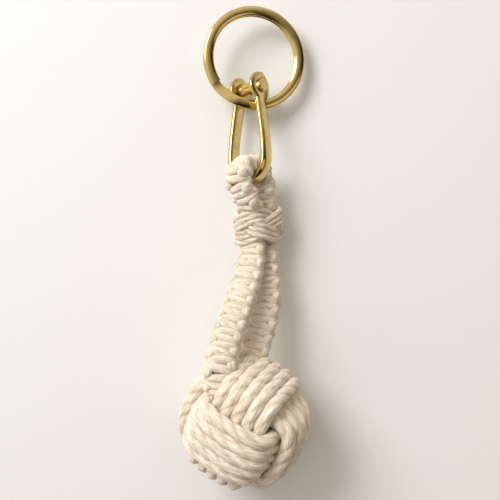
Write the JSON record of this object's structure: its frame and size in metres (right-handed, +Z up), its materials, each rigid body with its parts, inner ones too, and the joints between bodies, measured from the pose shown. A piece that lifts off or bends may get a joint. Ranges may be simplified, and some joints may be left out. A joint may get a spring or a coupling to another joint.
{
  "type": "monkey fist key fob",
  "caption": "Ball of crossing cord bands on a folded strap of square knots, hung from a brass shackle with a screwed pin and a split key ring.",
  "frame": {"origin": "middle of the fob's footprint, on the surface that the ball rests on", "axes": "+Y along the fob from the ball to the split ring, +Z up from the surface it lies on"},
  "size_m": [0.0358, 0.1354, 0.0355],
  "materials": {
    "fist_cotton": "unbleached three-ply twisted cotton cord",
    "core_wood": "plain turned ball, hidden",
    "strap_cotton": "square knots of unbleached cotton cord",
    "filler_cotton": "straight cotton cord, hidden",
    "keeper_cotton": "thin unbleached cotton cord",
    "shackle_brass": "polished cast brass",
    "ring_brass": "polished brass wire"
  },
  "bodies": {
    "fob": {"fist_cord": "fist_cotton", "core_ball": "core_wood", "knotted_strap": "strap_cotton", "filler_cord_left": "filler_cotton", "filler_cord_right": "filler_cotton", "keeper_knot": "keeper_cotton"},
    "bow": {"shackle_bow": "shackle_brass"},
    "pin": {"shackle_pin": "shackle_brass"},
    "ring": {"split_ring": "ring_brass"}
  },
  "joints": [
    {"name": "bow_swing", "type": "hinge", "parent": "fob", "child": "bow", "pos_m": [0.0013, 0.01649, 0.01205], "axis": [0.7599, 0.1204, 0.6388], "range_deg": [-80, 90]},
    {"name": "pin_slide", "type": "slide", "parent": "bow", "child": "pin", "axis": [-0.7599, -0.1204, -0.6388], "range_m": [0, 0.011]},
    {"name": "split_ring_turn", "type": "hinge", "parent": "bow", "child": "ring", "pos_m": [0.00265, 0.05283, 0.00761], "axis": [0.2371, -0.0119, 0.9714], "continuous": true}
  ]
}
